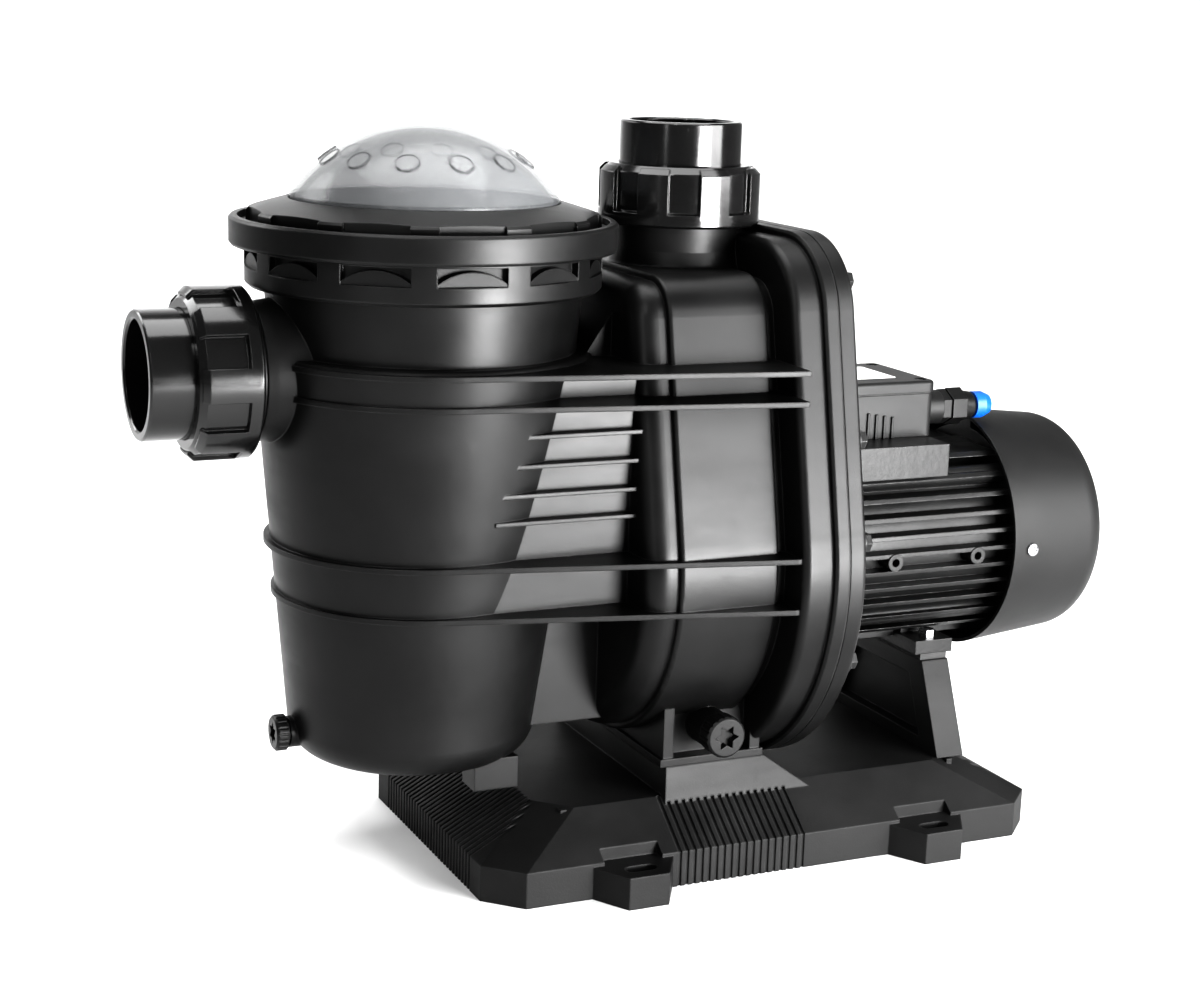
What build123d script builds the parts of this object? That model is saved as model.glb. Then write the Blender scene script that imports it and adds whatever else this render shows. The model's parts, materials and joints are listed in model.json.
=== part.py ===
from build123d import *
import os
from math import cos, radians, sin, sqrt

# Self-priming pool pump: a strainer pot and a priming chamber moulded as one black
# plastic body, a closed motor behind it, and a plinth under both.
# Frame: millimetres, +X from the suction port towards the motor fan, +Z up,
# origin on the floor on the pump's centre plane, 148 mm behind the pot's axis.

# ---- driving dimensions ----
MOUTH_X = -320.0             # suction mouth
COWL_END_X = 312.0           # rear of the fan cover
POT_X = -148.0               # vertical axis of the strainer pot
DISCHARGE_X = 18.0           # vertical axis of the discharge port
AXIS_Z = 181.5               # motor and impeller axis
SUCTION_Z = 306.5            # suction port axis
TOP_Z = 451.0                # discharge mouth

PIPE_R = 31.6                # socket for a 63 mm pressure pipe
PIPE_DEPTH = 38.0
TAIL_R = 37.5                # union tailpiece outside
TAIL_PROUD = 26.0            # tailpiece length outside its nut
NUT_R = 50.0
UNION_THREAD_R = 41.2        # plain core in place of the union thread
NUT_LENGTH = 36.0
NECK_R = 40.0                # moulded ports, outside
PORT_R = 27.0                # moulded ports, bore
WALL = 5.0

POT_FLOOR_Z = 69.5
POT_SHOULDER_Z = 318.0       # where the tapered pot meets its neck
POT_BASE_R = 73.5
POT_LEAN = 5.5               # how far the pot's foot is set towards the suction side
POT_SHOULDER_R = 101.0
COLLAR_Z = 356.0
COLLAR_R = 105.0
RIM_Z = 377.5
RIM_R = 114.0
RIM_TOP_Z = 394.0
FIRST_POCKET = 25.0          # angle of the first collar pocket, and of the ring's first recess
MOUTH_R = 86.0               # clear opening of the pot
LEDGE_Z = 379.0              # ledge that carries the basket
HANDLE_Z = 371.0             # pivots of the basket's handle
SEAT_Z = 385.0               # seat for the lid seal
DOME_R = 94.7                # sphere radius of the clear lid
DOME_TOP_Z = 448.6
DOME_BASE_R = 79.0
NECK_FACE_X = -278.0         # sealing faces of the two moulded necks
NECK_FACE_Z = 409.0
DRAIN_Z = 86.0               # pot drain plug
SIDE_DRAIN_X = 13.0          # chamber drain plug
SIDE_DRAIN_Z = 87.0

CASING_Z = 187.5             # centre of the flange's round lower part
CASING_R = 141.0
CASING_CORNER_R = 52.0
CASING_CORNER_Y = 60.0
CASING_CORNER_Z = 337.0
CHAMBER_X = -48.0            # front of the priming chamber
BAND_X = 42.0                # front of the wide rear band
FLANGE_X = 70.0              # parting face between body and seal plate
PLATE_X = 82.0               # rear of the seal plate, front of the motor
CHAMBER_INSET = 24.0         # chamber skin inside the flange outline

FRAME_X = 96.0               # motor frame, front and rear faces
FRAME_END_X = 240.0
FRAME_R = 60.0               # motor frame between its fins
FIN_R = 71.0
BORE_R = 55.0                # motor frame bore
COWL_X = 231.0
COWL_R = 80.0
COWL_WALL = 2.2
COWL_SCREW_X = 245.0
TIE_R = 63.0                 # tie rods, from the motor axis
TIE_HOLE_R = 2.8
TIE_TURNS = (45, 135, 225, 315)
COWL_TURNS = (0, 90, 180, 270)
BEARING_R = 23.5             # 6204 bearing: 47 outside, 20 bore, 14 wide
BEARING_BORE_R = 10.0
BEARING_W = 14.0
BEARING_OUTER_R = 20.8       # inside of the outer ring
BEARING_INNER_R = 12.8       # outside of the inner ring
FRONT_BEARING_X = 92.0
REAR_BEARING_X = 236.0
BEARING_XS = (FRONT_BEARING_X, REAR_BEARING_X)
SEAL_SHAFT_R = 8.0
ROTOR_R = 33.2
CORE_X0 = 126.0              # laminated core, front and rear faces
CORE_X1 = 210.0
IMPELLER_R = 62.0
EYE_R = 24.8
BOX_X0 = 104.0               # terminal box
BOX_X1 = 190.0
BOX_HALF_Y = 37.0
BOX_Z = 252.0
BOX_LID_Z = 280.0
BOX_TOP_Z = 288.5
GLAND_X = 200.0              # cable gland: face of its boss, and its axis
GLAND_Y = -24.0
GLAND_Z = 268.5

BASE_X0 = -142.0
BASE_X1 = 242.0
BASE_HALF_Y = 113.0
BASE_CORNER = 21.0
BASE_SIDE_Z = 22.0
PLATEAU_Z = 46.0
SKIRT_RUN = 33.0             # how far the long sides slope in
PEDESTAL_Z = 64.0
LUG_XS = (-52.0, 153.0)
LUG_Y = 123.0                # mounting slot centre
LUG_TOP_Z = 20.0
STAND_X = 182.0
STAND_T = 20.0
STAND_BOLT_R = 2.8
MOTOR_FOOT_Z = 109.0

DRAIN_R = 6.0                # drain plug shank
GAP = 0.3                    # air between bodies that move apart


# ---- small builders ----
def turned_z(points, x=0.0, y=0.0):
    """Solid turned about the vertical line through (x, y), from (radius, z) points."""
    outline = Wire.make_polygon([(r, 0, z) for r, z in points], close=True)
    return Pos(x, y, 0) * revolve(Face(outline), Axis.Z)


def turned_x(points, y=0.0, z=AXIS_Z):
    """Solid turned about the line along X through (y, z), from (x, radius) points."""
    outline = Wire.make_polygon([(x, 0, r) for x, r in points], close=True)
    return Pos(0, y, z) * revolve(Face(outline), Axis.X)


def turned_y(points, x, z):
    """Solid turned about the line along Y through (x, z), from (y, radius) points."""
    outline = Wire.make_polygon([(r, y, 0) for y, r in points], close=True)
    return Pos(x, 0, z) * revolve(Face(outline), Axis.Y)


def tube_x(x0, x1, outer, inner=0.0, y=0.0, z=AXIS_Z):
    return turned_x([(x0, inner), (x1, inner), (x1, outer), (x0, outer)], y, z)


def tube_z(z0, z1, outer, inner=0.0, x=0.0, y=0.0):
    return turned_z([(inner, z0), (outer, z0), (outer, z1), (inner, z1)], x, y)


def tube_y(y0, y1, outer, inner, x, z):
    return turned_y([(y0, inner), (y1, inner), (y1, outer), (y0, outer)], x, z)


def block(x0, x1, y0, y1, z0, z1):
    """Box between two corners."""
    size = (x1 - x0, y1 - y0, z1 - z0)
    return Pos((x0 + x1) / 2, (y0 + y1) / 2, (z0 + z1) / 2) * Box(*size)


def prism_x(points, x0, x1):
    """(y, z) outline carried along X."""
    outline = Wire.make_polygon([(x0, y, z) for y, z in points], close=True)
    return extrude(Face(outline), amount=x1 - x0, dir=(1, 0, 0))


def prism_z(points, z0, z1):
    """(x, y) outline carried up."""
    outline = Wire.make_polygon([(x, y, z0) for x, y in points], close=True)
    return extrude(Face(outline), amount=z1 - z0, dir=(0, 0, 1))


def around_x(solid, angle, y=0.0, z=AXIS_Z):
    return Pos(0, y, z) * Rot(angle, 0, 0) * Pos(0, -y, -z) * solid


def around_z(solid, angle, x):
    return Pos(x, 0, 0) * Rot(0, 0, angle) * Pos(-x, 0, 0) * solid


def casing(inset, x0, x1):
    """The casing's outline, wide and round below and square shouldered on top, along X."""
    low_r = CASING_R - inset
    top_r = CASING_CORNER_R - inset
    rise = CASING_CORNER_Z - CASING_Z
    top = Circle(top_r)
    corners = Sketch() + [Pos(y, rise) * top for y in (-CASING_CORNER_Y, CASING_CORNER_Y)]
    outline = make_hull((Sketch() + [Circle(low_r)] + [corners]).edges())
    plane = Plane(origin=(x0, 0, CASING_Z), x_dir=(0, 1, 0), z_dir=(1, 0, 0))
    return extrude(plane * outline, amount=x1 - x0)


def octagon(inset_x, inset_y, corner):
    """(x, y) corners of the plinth's plan, drawn in by the insets."""
    x0, x1 = BASE_X0 + inset_x, BASE_X1 - inset_x
    y1 = BASE_HALF_Y - inset_y
    return [
        (x0, -y1 + corner), (x0 + corner, -y1), (x1 - corner, -y1), (x1, -y1 + corner),
        (x1, y1 - corner), (x1 - corner, y1), (x0 + corner, y1), (x0, y1 - corner),
    ]


def frustum(low, low_z, high, high_z):
    """Ruled solid between two (x, y) outlines at two heights."""
    faces = [
        Face(Wire.make_polygon([(x, y, z) for x, y in points], close=True))
        for points, z in ((low, low_z), (high, high_z))
    ]
    return Part() + Solid.make_loft([f.outer_wire() for f in faces], ruled=True)


def rectangle(x0, x1, half_y):
    return [(x0, -half_y), (x1, -half_y), (x1, half_y), (x0, half_y)]


# ---- plinth ----
def plinth():
    skirt_in_x, skirt_in_y = 44.0, SKIRT_RUN
    wall = 5.0
    solid = prism_z(octagon(0, 0, BASE_CORNER), 0, BASE_SIDE_Z)
    solid += frustum(
        octagon(0, 0, BASE_CORNER), BASE_SIDE_Z,
        octagon(skirt_in_x, skirt_in_y, BASE_CORNER), PLATEAU_Z,
    )
    solid += frustum(
        rectangle(POT_X + 129, POT_X + 236, 86.5), PLATEAU_Z - 8,
        rectangle(POT_X + 132, POT_X + 200, 80.0), PEDESTAL_Z,
    )
    solid += lugs()
    liners = solid & pocket_liners()
    # hollow underside, left open at the floor
    solid -= prism_z(octagon(wall, wall, BASE_CORNER), 0, BASE_SIDE_Z - wall)
    solid -= frustum(
        octagon(wall, wall, BASE_CORNER), BASE_SIDE_Z - wall,
        octagon(skirt_in_x + 2, skirt_in_y + 2, BASE_CORNER), PLATEAU_Z - wall,
    )
    inner_x = (BASE_X0 + wall, BASE_X1 - wall)
    for y in (-56.0, 0.0, 56.0):
        solid += block(*inner_x, y - 2, y + 2, 0, BASE_SIDE_Z)
        solid += block(BASE_X0 + 48, BASE_X1 - 48, y - 2, y + 2, BASE_SIDE_Z, PLATEAU_Z - 1)
    for x in (-84.0, -29.0, 26.0, 81.0, 136.0, 191.0):
        solid += block(x - 2, x + 2, -BASE_HALF_Y + wall, BASE_HALF_Y - wall, 0, BASE_SIDE_Z - 4)
        solid += block(x - 2, x + 2, -80, 80, BASE_SIDE_Z - 4, PLATEAU_Z - 1)
    solid += liners
    for x in LUG_XS:
        for side in (-1, 1):
            solid -= lug_slot(x, side)
            solid -= lug_pocket(x, side)
    solid -= grip_grooves()
    # room under the chamber flange
    solid -= casing(-3, BAND_X - 5, PLATE_X + 10)
    for x, y in foot_bolt_places():
        solid -= tube_z(PEDESTAL_Z - 30, PEDESTAL_Z + 1, 3.4, 0, x, y)
    return solid


def lugs():
    """Four mounting lugs, narrower at their tips."""
    solid = Part()
    for x in LUG_XS:
        for side in (-1, 1):
            root, tip = side * (BASE_HALF_Y - 6), side * (BASE_HALF_Y + 23)
            plan = [(x - 30, root), (x + 30, root), (x + 13, tip), (x - 13, tip)]
            solid += prism_z(plan if side > 0 else plan[::-1], 0, LUG_TOP_Z)
    return solid


def lug_slot(x, side):
    """Through slot along X for a ground screw."""
    slot = Plane((x, side * LUG_Y, -1)) * SlotOverall(20, 9)
    return extrude(slot, amount=LUG_TOP_Z + 4)


def lug_pocket(x, side):
    """Screw head room cut into the skirt above the lug."""
    y0, y1 = sorted((side * (BASE_HALF_Y - 8), side * (BASE_HALF_Y + 40)))
    return block(x - 19, x + 19, y0, y1, LUG_TOP_Z, PLATEAU_Z)


def pocket_liners():
    """Solid stock left round each lug pocket when the plinth is hollowed."""
    solid = Part()
    for x in LUG_XS:
        for side in (-1, 1):
            y0, y1 = sorted((side * (BASE_HALF_Y - 13), side * BASE_HALF_Y))
            solid += block(x - 24, x + 24, y0, y1, BASE_SIDE_Z - 8, PLATEAU_Z)
    return solid


def grip_grooves():
    """Fine ribbing on the long sides and on the ends of the plinth."""
    pitch, depth, width = 5.0, 1.2, 2.2
    run = SKIRT_RUN
    solid = Part()
    for k in range(18):
        x = POT_X + 126 + pitch * k
        for side in (-1, 1):
            skin = [
                (side * (BASE_HALF_Y + 1), -1), (side * (BASE_HALF_Y - depth), -1),
                (side * (BASE_HALF_Y - depth), BASE_SIDE_Z - depth / 2),
                (side * (BASE_HALF_Y - depth - run), PLATEAU_Z - depth / 2),
                (side * (BASE_HALF_Y - run), PLATEAU_Z + 1),
                (side * (BASE_HALF_Y + 1), BASE_SIDE_Z + 1),
            ]
            solid += prism_x(skin, x, x + width)
    end_run = 44.0
    for k in range(-15, 15):
        y = pitch * k
        for x_end, side in ((BASE_X0, -1), (BASE_X1, 1)):
            skin = [
                (x_end + side, -1), (x_end - side * depth, -1),
                (x_end - side * depth, BASE_SIDE_Z - depth / 2),
                (x_end - side * (depth + end_run), PLATEAU_Z - depth / 2),
                (x_end - side * end_run, PLATEAU_Z + 1),
                (x_end + side, BASE_SIDE_Z + 1),
            ]
            outline = Wire.make_polygon([(px, y, pz) for px, pz in skin], close=True)
            solid += extrude(Face(outline), amount=width, dir=(0, 1, 0))
    return solid


def foot_bolt_places():
    return [(x, y) for x in (POT_X + 140, POT_X + 188) for y in (-66.0, 66.0)]


def motor_stand():
    """Upright under the motor foot, sloping in towards its top."""
    low, high = 79.0, 54.0
    top = MOTOR_FOOT_Z - 4
    solid = prism_x([(-low, PLATEAU_Z), (low, PLATEAU_Z), (high, top), (-high, top)],
                    STAND_X, STAND_X + STAND_T)
    window = [(-56, PLATEAU_Z + 8), (56, PLATEAU_Z + 8), (40, top - 12), (-40, top - 12)]
    solid -= prism_x(window, STAND_X - 1, STAND_X + STAND_T + 1)
    solid += prism_x(window, STAND_X + 8, STAND_X + 12)
    for x, y in stand_bolt_places():
        solid -= tube_z(top - 14, top + 1, STAND_BOLT_R, 0, x, y)
    return solid


def stand_pad():
    """Rubber pad between stand and motor foot."""
    pad = block(STAND_X, STAND_X + STAND_T, -52, 52, MOTOR_FOOT_Z - 4, MOTOR_FOOT_Z)
    for x, y in stand_bolt_places():
        pad -= tube_z(MOTOR_FOOT_Z - 5, MOTOR_FOOT_Z + 1, STAND_BOLT_R + 0.4, 0, x, y)
    return pad


# ---- wet end body ----
def pot_radius(z):
    """Outside radius of the tapered pot."""
    share = (z - POT_FLOOR_Z) / (POT_SHOULDER_Z - POT_FLOOR_Z)
    return POT_BASE_R + share * (POT_SHOULDER_R - POT_BASE_R)


def pot_x(z):
    """Centre of the leaning pot at a height."""
    return POT_X - POT_LEAN * (POT_SHOULDER_Z - z) / (POT_SHOULDER_Z - POT_FLOOR_Z)


def leaning_cone(low_z, low_r, high_z, high_r):
    """Cone between two heights that follows the pot's lean."""
    rings = [Pos(pot_x(z), 0, z) * Circle(r) for z, r in ((low_z, low_r), (high_z, high_r))]
    return loft(Sketch() + rings, ruled=True)


def pot_outside():
    edge = 20.0
    shell = leaning_cone(POT_FLOOR_Z, POT_BASE_R, POT_SHOULDER_Z, POT_SHOULDER_R)
    shell = fillet(shell.edges().group_by(Axis.Z)[0], edge)
    shell = fillet(shell.edges().group_by(Axis.Z)[-1], 3.0)
    neck = turned_z([
        (0, POT_SHOULDER_Z - 8), (91, POT_SHOULDER_Z - 8), (91, POT_SHOULDER_Z),
        (94, COLLAR_Z), (0, COLLAR_Z),
    ], POT_X)
    return shell + neck


def collar():
    """Stiff collar with arched pockets, and the screwed rim above it."""
    ring = turned_z([
        (0, COLLAR_Z - 2), (COLLAR_R - 2, COLLAR_Z - 2), (COLLAR_R, COLLAR_Z), (COLLAR_R, RIM_Z),
        (RIM_R - 1, RIM_Z), (RIM_R, RIM_Z + 1.5), (RIM_R, RIM_TOP_Z - 1.5), (RIM_R - 1.5, RIM_TOP_Z),
        (RIM_R - 5, RIM_TOP_Z), (RIM_R - 5, SEAT_Z), (0, SEAT_Z),
    ], POT_X)
    count, half_width = 12, 20.0
    low_z, high_z = COLLAR_Z + 9, RIM_Z - 2.0
    for k in range(count):
        pocket = block(COLLAR_R - 7, COLLAR_R + 3, -half_width, half_width, low_z, high_z)
        arch = block(COLLAR_R - 8, COLLAR_R - 2.5, -half_width - 1, half_width + 1, low_z - 1, high_z)
        arch &= Pos(0, 0, low_z - 24.5) * Rot(0, 90, 0) * Cylinder(33, 2 * RIM_R + 40)
        pocket -= arch
        ring -= around_z(Pos(POT_X, 0, 0) * pocket, FIRST_POCKET + 360 / count * k, POT_X)
    return ring


def long_rib(z, reach, shift, thickness=3.2):
    """Stiffening plate round the pot and along both sides to the rear band."""
    side_y = 132.0
    pot = Pos(pot_x(z) + shift, 0) * Circle(pot_radius(z) + reach)
    tail = Pos(BAND_X - 1, 0) * Rectangle(2, 2 * side_y)
    plate = make_hull((Sketch() + [pot] + [tail]).edges())
    return Pos(0, 0, z - thickness / 2) * extrude(plate, amount=thickness)


def chamber():
    """Priming chamber with its raised side panels, rear band and flange lip."""
    front = casing(CHAMBER_INSET + 4, CHAMBER_X, BAND_X + 2)
    front = fillet(front.edges().group_by(Axis.X)[0], 14.0)
    panel = casing(CHAMBER_INSET, CHAMBER_X + 19, BAND_X - 6)
    panel = fillet(panel.edges().group_by(Axis.X)[0], 2.4)
    panel = fillet(panel.edges().group_by(Axis.X)[-1], 2.4)
    band = casing(4, BAND_X, FLANGE_X)
    band = fillet(band.edges().group_by(Axis.X)[0], 5.0)
    lip = casing(0, FLANGE_X - 9, FLANGE_X)
    lip = chamfer(lip.edges().group_by(Axis.X)[0], 1.5)
    return front + panel + band + lip


def web():
    """Flat-sided passage housing between pot and chamber, with its short ribs."""
    half_y, low_z, high_z = 83.0, 171.0, 314.0
    solid = block(POT_X + 10, CHAMBER_X + 20, -half_y, half_y, low_z, high_z)
    # keel that closes the notch between pot and foot block
    solid += block(POT_X + 30, POT_X + 132, -44, 44, 88, low_z + 1)
    for z in (277.0, 260.0, 243.0, 227.0):
        solid += block(POT_X + 12, POT_X + 112, -91, 91, z - 1.2, z + 1.2)
    # cheek that ramps up from the top rib to the discharge neck
    ramp = Wire.make_polygon([
        (POT_X + 60, -50, 300), (CHAMBER_X + 30, -50, 300), (CHAMBER_X + 30, -50, 358),
        (CHAMBER_X + 2, -50, 345), (POT_X + 84, -50, 318), (POT_X + 60, -50, 316),
    ], close=True)
    return solid + extrude(Face(ramp), amount=100, dir=(0, 1, 0))


def ports():
    """Moulded suction and discharge necks with the plain cores of their threads."""
    thread_r, thread_len = UNION_THREAD_R, NUT_LENGTH - 20
    suction_end = NECK_FACE_X
    nut_end = MOUTH_X + TAIL_PROUD + NUT_LENGTH
    suction = tube_x(suction_end, POT_X, NECK_R - 1, 0, 0, SUCTION_Z)
    suction += turned_x([
        (nut_end + 4, 0), (nut_end + 4, NECK_R), (nut_end + 10, NECK_R + 1), (POT_X + 2, NECK_R + 14),
        (POT_X + 2, 0),
    ], 0, SUCTION_Z)
    suction += tube_x(suction_end, suction_end + thread_len, thread_r, 0, 0, SUCTION_Z)
    discharge_end = NECK_FACE_Z
    discharge = turned_z([
        (0, AXIS_Z), (NECK_R + 8, AXIS_Z), (NECK_R + 8, 358), (NECK_R + 2, 366), (NECK_R, 374),
        (NECK_R, discharge_end), (0, discharge_end),
    ], DISCHARGE_X)
    discharge += tube_z(discharge_end - thread_len, discharge_end, thread_r, 0, DISCHARGE_X)
    return suction, discharge


def feet():
    """Foot block under the chamber, and the small foot tab under the pot."""
    foot = block(POT_X + 130, POT_X + 197, -79, 79, PEDESTAL_Z, 112)
    foot -= block(POT_X + 138, POT_X + 189, -64, 64, PEDESTAL_Z - 1, PEDESTAL_Z + 12)
    for side in (-1, 1):
        y0, y1 = sorted((side * 70, side * 82))
        foot -= block(POT_X + 137, POT_X + 190, y0, y1, PEDESTAL_Z + 5, 106)
    flange = block(POT_X + 128, POT_X + 199, -80, 80, PEDESTAL_Z, PEDESTAL_Z + 5)
    flange -= block(POT_X + 138, POT_X + 189, -59, 59, PEDESTAL_Z - 1, PEDESTAL_Z + 6)
    tab = block(POT_X + 14, POT_X + 42, -60, -40, 56, POT_FLOOR_Z + 6)
    return foot + flange + tab


def drain_boss_pot():
    return tube_x(POT_X - 84, POT_X - 50, 9.5, 0, 0, DRAIN_Z)


def drain_boss_chamber():
    return tube_y(-90, -50, 12.0, 0, SIDE_DRAIN_X, SIDE_DRAIN_Z)


def body_bolt_places():
    """(y, z) of the clamp bolts round the flange, just inside its edge."""
    inset = 10.0
    r = CASING_R - inset
    low = [(r * sin(radians(a)), CASING_Z - r * cos(radians(a))) for a in (-100, -66, -33, 0, 33, 66, 100)]
    side = [(s * 116.5, 270.0) for s in (-1, 1)]
    top = [(s * 91.0, 362.0) for s in (-1, 1)] + [(-38.0, CASING_CORNER_Z + 42), (38.0, CASING_CORNER_Z + 42)]
    return low + side + top


def wet_end_body():
    suction, discharge = ports()
    solid = pot_outside() + collar() + chamber() + web()
    solid += long_rib(314, 3.0, 2.0)
    solid += long_rib(296, 3.5, 2.0)
    solid += long_rib(202, 4.5, 0.5)
    solid += long_rib(171, 4.0, 1.5)
    solid += suction
    solid += discharge
    solid += feet()
    solid += drain_boss_pot()
    solid += drain_boss_chamber()
    solid -= body_hollow()
    return solid


def pot_hollow():
    low_z, mid_z, edge = POT_FLOOR_Z + WALL, POT_SHOULDER_Z - 12, 13.0
    low_r = POT_BASE_R - WALL
    lower = leaning_cone(low_z, low_r - edge, low_z + edge, low_r)
    lower += leaning_cone(low_z + edge, low_r, mid_z, MOUTH_R + 5)
    return lower + turned_z([
        (0, mid_z), (MOUTH_R + 5, mid_z), (MOUTH_R, POT_SHOULDER_Z),
        (MOUTH_R, LEDGE_Z), (MOUTH_R + 4, LEDGE_Z), (MOUTH_R + 4, SEAT_Z + 1), (0, SEAT_Z + 1),
    ], POT_X)


def body_hollow():
    """Everything that is air or water inside the moulding."""
    hollow = pot_hollow()
    # chamber, open at the flange; its front wall and the intake tube stay
    room = casing(CHAMBER_INSET + 4 + WALL, CHAMBER_X + WALL, BAND_X + 4)
    room = chamfer(room.edges().group_by(Axis.X)[0], 8.0)
    room += casing(4 + 6, BAND_X + 4, FLANGE_X + 1)
    room += casing(4 + 14, FLANGE_X - 1, FLANGE_X + 1)
    keep = tube_x(CHAMBER_X - 4, 8, 30.0, 0)
    room -= keep
    hollow += room
    hollow += tube_x(POT_X, 9, PORT_R)
    hollow += tube_x(MOUTH_X, POT_X, PORT_R, 0, 0, SUCTION_Z)
    hollow += tube_z(CASING_CORNER_Z - 30, TOP_Z, PORT_R, 0, DISCHARGE_X)
    # drain holes
    hollow += tube_x(POT_X - 90, POT_X - 50, DRAIN_R + GAP, 0, 0, DRAIN_Z)
    hollow += tube_y(-95, -30, DRAIN_R + GAP, 0, SIDE_DRAIN_X, SIDE_DRAIN_Z)
    for y, z in body_bolt_places():
        hollow += tube_x(FLANGE_X - 12, FLANGE_X + 1, 5.0, 0, y, z)
    hollow += tube_z(SEAT_Z - 2.6, SEAT_Z + 1, 96.4, 92.4, POT_X)
    hollow += tube_x(NECK_FACE_X - 1, NECK_FACE_X + 2.8, 36.4, 31.6, 0, SUCTION_Z)
    hollow += tube_z(NECK_FACE_Z - 2.8, NECK_FACE_Z + 1, 36.4, 31.6, DISCHARGE_X)
    return hollow



def body_inserts():
    """Threaded brass inserts moulded into the flange, as plain sleeves."""
    solid = Part()
    for y, z in body_bolt_places():
        solid += tube_x(FLANGE_X - 12, FLANGE_X - 0.5, 5.0, 3.0, y, z)
    return solid


def hexagon_x(x0, x1, across, y, z, turn=0):
    plane = Plane(origin=(x0, y, z), x_dir=(0, 1, 0), z_dir=(1, 0, 0))
    return extrude(plane * RegularPolygon(across / 2, 6, major_radius=False, rotation=turn), amount=x1 - x0)


def body_bolts():
    """Clamp bolts with washers, entered from the motor side."""
    solid = Part()
    for y, z in body_bolt_places():
        solid += tube_x(FLANGE_X - 11, PLATE_X, 3.0, 0, y, z)
        solid += tube_x(PLATE_X, PLATE_X + 1.4, 7.5, 0, y, z)
        solid += hexagon_x(PLATE_X + 1.4, PLATE_X + 6.4, 10, y, z)
    return solid


# ---- unions ----
def union_tail():
    """Tailpiece standing on the local origin: flange at z 0, mouth up."""
    length = TOP_Z - NECK_FACE_Z
    return turned_z([
        (PORT_R, 0), (UNION_THREAD_R, 0), (UNION_THREAD_R, 7), (TAIL_R, 8.5), (TAIL_R, length - 1),
        (TAIL_R - 1, length), (PIPE_R + 1, length), (PIPE_R, length - 1), (PIPE_R, length - PIPE_DEPTH),
        (PORT_R, length - PIPE_DEPTH),
    ])


def union_nut():
    """Nut in the same local place: eight grip pads over a plain rear rim."""
    z1 = TOP_Z - TAIL_PROUD - NECK_FACE_Z
    z0 = z1 - NUT_LENGTH
    core = turned_z([
        (TAIL_R + GAP, z1), (NUT_R - 7, z1), (NUT_R - 3, z1 - 4), (NUT_R - 3, z0 + 9),
        (NUT_R, z0 + 8), (NUT_R, z0 + 1.5), (NUT_R - 1.5, z0), (UNION_THREAD_R + 0.4, z0),
        (UNION_THREAD_R + 0.4, 9), (TAIL_R + GAP, 9),
    ])
    pads = turned_z([
        (NUT_R - 5, z0 + 5), (NUT_R, z0 + 5), (NUT_R, z1 - 4.5), (NUT_R - 3.5, z1 - 1), (NUT_R - 5, z1 - 1),
    ])
    half_pad = 11.25
    for k in range(8):
        wedge = Rot(0, 0, 45 * k) * pad_sector(half_pad)
        core += pads & wedge
    return core


def pad_sector(half_angle):
    reach, tall = 80.0, 60.0
    x, y = reach * cos(radians(half_angle)), reach * sin(radians(half_angle))
    return prism_z([(0, 0), (x, -y), (x, y)], -tall, tall)


def union_ring():
    """Face seal, in its neck groove."""
    return Pos(0, 0, -1.4) * Torus(34.0, 1.35)


def on_suction(solid):
    return Pos(NECK_FACE_X, 0, SUCTION_Z) * Rot(0, -90, 0) * solid


def on_discharge(solid):
    return Pos(DISCHARGE_X, 0, NECK_FACE_Z) * solid


# ---- strainer lid and basket ----
def lid_dome():
    """Clear lid: clamped flange, short wall and shallow dome with round bosses."""
    centre_z = DOME_TOP_Z - DOME_R
    shell = 3.5
    foot_z = centre_z + sqrt(DOME_R ** 2 - DOME_BASE_R ** 2)
    inner_r = DOME_R - shell
    wall_r = DOME_BASE_R - shell
    inner_foot = centre_z + sqrt(inner_r ** 2 - wall_r ** 2)
    half = radians(28)
    outer_mid = (DOME_R * sin(half), 0, centre_z + DOME_R * cos(half))
    inner_mid = (inner_r * sin(half), 0, centre_z + inner_r * cos(half))
    flange_r, flange_z = 97.6, SEAT_Z + 0.4
    edges = [
        Line((0, 0, centre_z + inner_r), (0, 0, DOME_TOP_Z)),
        ThreePointArc((0, 0, DOME_TOP_Z), outer_mid, (DOME_BASE_R, 0, foot_z)),
        Line((DOME_BASE_R, 0, foot_z), (DOME_BASE_R, 0, flange_z + 4)),
        Line((DOME_BASE_R, 0, flange_z + 4), (flange_r, 0, flange_z + 4)),
        Line((flange_r, 0, flange_z + 4), (flange_r, 0, flange_z)),
        Line((flange_r, 0, flange_z), (wall_r, 0, flange_z)),
        Line((wall_r, 0, flange_z), (wall_r, 0, inner_foot)),
        ThreePointArc((wall_r, 0, inner_foot), inner_mid, (0, 0, centre_z + inner_r)),
    ]
    dome = revolve(Face(Wire(edges)), Axis.Z)
    tilt = 38.0
    boss = Pos(0, 0, centre_z) * Rot(0, tilt, 0) * Pos(0, 0, DOME_R - 0.6) * Cylinder(6.8, 3.0)
    for k in range(12):
        dome += Rot(0, 0, 30 * k) * boss
    return Pos(POT_X, 0, 0) * dome


def lock_ring():
    """Screwed ring over the lid flange, its grip wall cut back between twelve pads."""
    clear_z = SEAT_Z + 0.4 + 4 + GAP
    bore = DOME_BASE_R + 0.6
    wall_r, thread_r, inside_r = 104.0, RIM_R - 5.6, 98.2
    ring = turned_z([
        (bore, clear_z), (inside_r, clear_z), (inside_r, SEAT_Z + 0.6), (thread_r, SEAT_Z + 0.6),
        (thread_r, SEAT_Z + 5), (wall_r, SEAT_Z + 5), (wall_r, 396.5), (wall_r - 1.5, 398),
        (bore + 1, 404.5), (bore, 404),
    ], POT_X)
    for k in range(12):
        notch = block(POT_X + wall_r - 4, POT_X + wall_r + 2, -19, 19, SEAT_Z + 5, 399)
        ring -= around_z(notch, FIRST_POCKET + 30 * k, POT_X)
    return ring


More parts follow.
